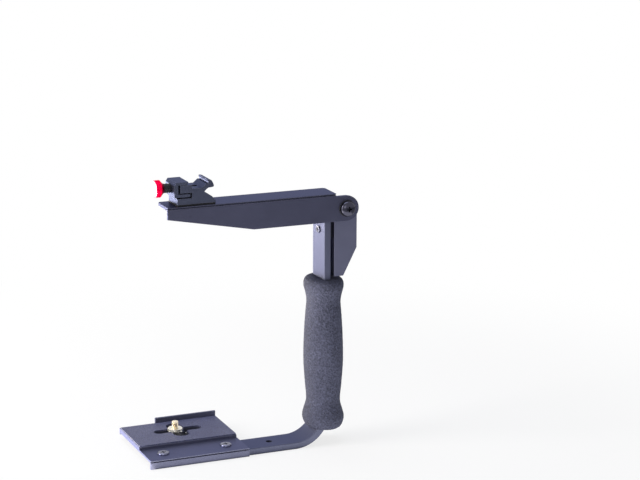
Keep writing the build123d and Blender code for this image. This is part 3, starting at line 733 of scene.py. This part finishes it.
def threaded(radius, pitch, start, axis, length):
    """A rod with a cut thread: one turn's profile, screwed along the axis, then cut to length
    with a chamfer at both ends."""
    start, axis = Vector(start), Vector(axis)
    root = radius - thread_depth * pitch
    chamfer = thread_chamfer * thread_depth * pitch
    spare = 0.1 * MM  # how far the blank that cuts it to length stands off the thread
    reaches = (root, radius, radius, root, root)
    draw_line([Vector((reach, 0, at * pitch)) for reach, at in zip(reaches, thread_corners)])
    bpy.ops.object.mode_set(mode="OBJECT")
    rod = bpy.context.object
    apply_modifier(
        rod,
        "SCREW",
        axis="Z",
        screw_offset=pitch,
        iterations=math.ceil(length / pitch + 2 * thread_lead),
        steps=thread_sides,
        render_steps=thread_sides,
        use_merge_vertices=True,
        merge_threshold=weld,
    )
    rod.rotation_euler = axis.to_track_quat("Z", "Y").to_euler()
    rod.location = start - axis * thread_lead * pitch
    bpy.ops.object.transform_apply(location=True, rotation=True, scale=True)
    bpy.ops.object.mode_set(mode="EDIT")
    bpy.ops.mesh.select_mode(type="VERT")
    join_doubles()
    bpy.ops.mesh.fill_holes(sides=0)
    bpy.ops.mesh.select_all(action="SELECT")
    bpy.ops.mesh.normals_make_consistent(inside=False)
    bpy.ops.object.mode_set(mode="OBJECT")
    blank_profile = [
        (0, 0),
        (radius - chamfer, 0),
        (radius + spare, chamfer + spare),
        (radius + spare, length - chamfer - spare),
        (radius - chamfer, length),
        (0, length),
    ]
    blank = lathed(blank_profile, start, axis, 2 * thread_sides)
    bpy.ops.object.mode_set(mode="OBJECT")
    combine(rod, blank, "INTERSECT")
    return rod


rod_low, rod_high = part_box("clamp_screw")
rod_start = (rod_low.x, clamp_y, clamp_z)
rod = threaded(rod_radius, rod_pitch, rod_start, (1, 0, 0), rod_high.x - rod_low.x)
leave_edit(rod, "clamp_rod", zinc)
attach(rod, "clamp")
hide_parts("clamp_screw")


# Lock under the arm: a quarter inch steel stud through the arm into the shoe, moulded into a
# fluted black plastic knob.
lock_sides = 60
flutes = 10
flute_keep = 0.9  # how much of the radius is left in the middle of a flute
flute_half = (3.5, 9.0)  # degrees each side of its middle, of its deep part and of the whole
quarter_inch = (3.175 * MM, 1.27 * MM)  # the thread's radius and pitch
lock_low, lock_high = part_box("shoe_lock_knob")
lock_x = (lock_low.x + lock_high.x) / 2
lock_y = (lock_low.y + lock_high.y) / 2
lock_radius = (lock_high.x - lock_low.x) / 2
hub_radius = 6.5 * MM
hub_height = 3.4 * MM
lock_height = lock_high.z - lock_low.z
hub_foot = lock_height - hub_height
stud_bore = 3.225 * MM
stud_depth = 9.0 * MM
dish_depth = 0.5 * MM
lock_profile = [
    (0, dish_depth),
    (0.55 * lock_radius, dish_depth),
    (0.6 * lock_radius, 0),
    (0.9 * lock_radius, 0.1 * MM),
    (lock_radius, 1.3 * MM),
    (lock_radius, 0.5 * hub_foot),
    (lock_radius, hub_foot - 1.2 * MM),
    (0.92 * lock_radius, hub_foot),
    (hub_radius + 0.4 * MM, hub_foot),
    (hub_radius, hub_foot + 0.5 * MM),
    (hub_radius, lock_height),
    (stud_bore, lock_height),
    (stud_bore, lock_height - stud_depth),
    (0, lock_height - stud_depth),
]
lock_knob = lathed(lock_profile, (lock_x, lock_y, lock_low.z), (0, 0, 1), lock_sides)
bpy.ops.mesh.select_mode(type="VERT")
for flute in range(flutes):
    turn = math.tau * flute / flutes
    for near, keep in zip(flute_half, (flute_keep, (1 + flute_keep) / 2)):
        bpy.ops.mesh.select_all(action="DESELECT")
        mesh = bmesh.from_edit_mesh(lock_knob.data)
        for vertex in mesh.verts:
            away = Vector((vertex.co.x - lock_x, vertex.co.y - lock_y))
            if away.length < 0.85 * lock_radius:
                continue
            off = math.degrees(math.atan2(away.y, away.x) - turn + math.pi) % 360 - 180
            vertex.select_set(abs(off) < near)
        bmesh.update_edit_mesh(lock_knob.data)
        bpy.ops.transform.resize(value=(keep, keep, 1), center_override=(lock_x, lock_y, 0))
bpy.ops.object.mode_set(mode="OBJECT")
leave_edit(lock_knob, "shoe_lock_knob_fluted", black_plastic, 40.0)
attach(lock_knob, "lock")
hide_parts("shoe_lock_knob")

stud_low, stud_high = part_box("shoe_lock_stud")
stud_start = (lock_x, lock_y, stud_low.z)
lock_stud = threaded(*quarter_inch, stud_start, (0, 0, 1), stud_high.z - stud_low.z)
leave_edit(lock_stud, "shoe_lock_stud_threaded", zinc)
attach(lock_stud, "lock")
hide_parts("shoe_lock_stud")


# Camera screw: a quarter inch brass stud whose plain shank turns in a knurled nickel collar,
# with a flat knurled knob under the platform.
collar_low, collar_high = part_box("camera_collar")
camera_x = (collar_low.x + collar_high.x) / 2
camera_y = (collar_low.y + collar_high.y) / 2
collar_radius = (collar_high.x - collar_low.x) / 2
collar_height = collar_high.z - collar_low.z
collar_sides = 44
collar_disc = 2.2 * MM
disc_foot = collar_height - collar_disc
collar_edge = 0.4 * MM
spigot_radius = 4.3 * MM
shank_bore = 2.65 * MM
shank_radius = 2.6 * MM
shank_sides = 32
shank_overlap = 0.1 * MM
thread_length = 6.5 * MM
flat_edge = 0.5 * MM
flat_dish = 0.6 * MM
flat_sides = 72
shank_hold = 4.0 * MM  # how deep the shank sits in the knob
collar_profile = [
    (shank_bore, 0),
    (spigot_radius, 0),
    (spigot_radius, disc_foot),
    (collar_radius - 0.3 * MM, disc_foot),
    (collar_radius, disc_foot + 0.3 * MM),
    (collar_radius, collar_height - collar_edge),
    (collar_radius - collar_edge, collar_height),
    (shank_bore + 0.6 * MM, collar_height),
    (shank_bore, collar_height - collar_edge),
]
collar_centre = (camera_x, camera_y, collar_low.z)
collar = lathed(collar_profile, collar_centre, (0, 0, 1), collar_sides)
knurl(collar, collar_centre, (0, 0, 1), collar_radius, 0.2 * MM, 0.22 * MM)
leave_edit(collar, "camera_collar_knurled", plated("nickel", (0.8, 0.77, 0.69), 0.24))
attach(collar, "collar")
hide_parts("camera_collar")

screw_low, screw_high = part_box("camera_screw")
thread_start = (camera_x, camera_y, screw_high.z - thread_length)
stud = threaded(*quarter_inch, thread_start, (0, 0, 1), thread_length)
shank_length = thread_start[2] - screw_low.z + shank_overlap
shank_profile = [(0, 0), (shank_radius, 0), (shank_radius, shank_length), (0, shank_length)]
shank = lathed(shank_profile, (camera_x, camera_y, screw_low.z), (0, 0, 1), shank_sides)
bpy.ops.object.mode_set(mode="OBJECT")
combine(stud, shank, "UNION")
leave_edit(stud, "camera_stud_threaded", plated("brass", (0.9, 0.8, 0.62), 0.2))
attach(stud, "camera_bolt")
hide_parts("camera_screw")

flat_low, flat_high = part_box("camera_screw_knob")
flat_radius = (flat_high.x - flat_low.x) / 2
flat_height = flat_high.z - flat_low.z
flat_profile = [
    (0, flat_dish),
    (0.6 * flat_radius, flat_dish),
    (0.65 * flat_radius, 0),
    (flat_radius - flat_edge, 0),
    (flat_radius, flat_edge),
    (flat_radius, 0.5 * flat_height),
    (flat_radius, flat_height - flat_edge),
    (flat_radius - flat_edge, flat_height),
    (shank_bore, flat_height),
    (shank_bore, flat_height - shank_hold),
    (0, flat_height - shank_hold),
]
flat_centre = (camera_x, camera_y, flat_low.z)
flat_knob = lathed(flat_profile, flat_centre, (0, 0, 1), flat_sides)
knurl(flat_knob, flat_centre, (0, 0, 1), flat_radius)
leave_edit(flat_knob, "camera_knob_knurled", black_plastic)
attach(flat_knob, "camera_bolt")
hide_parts("camera_screw_knob")
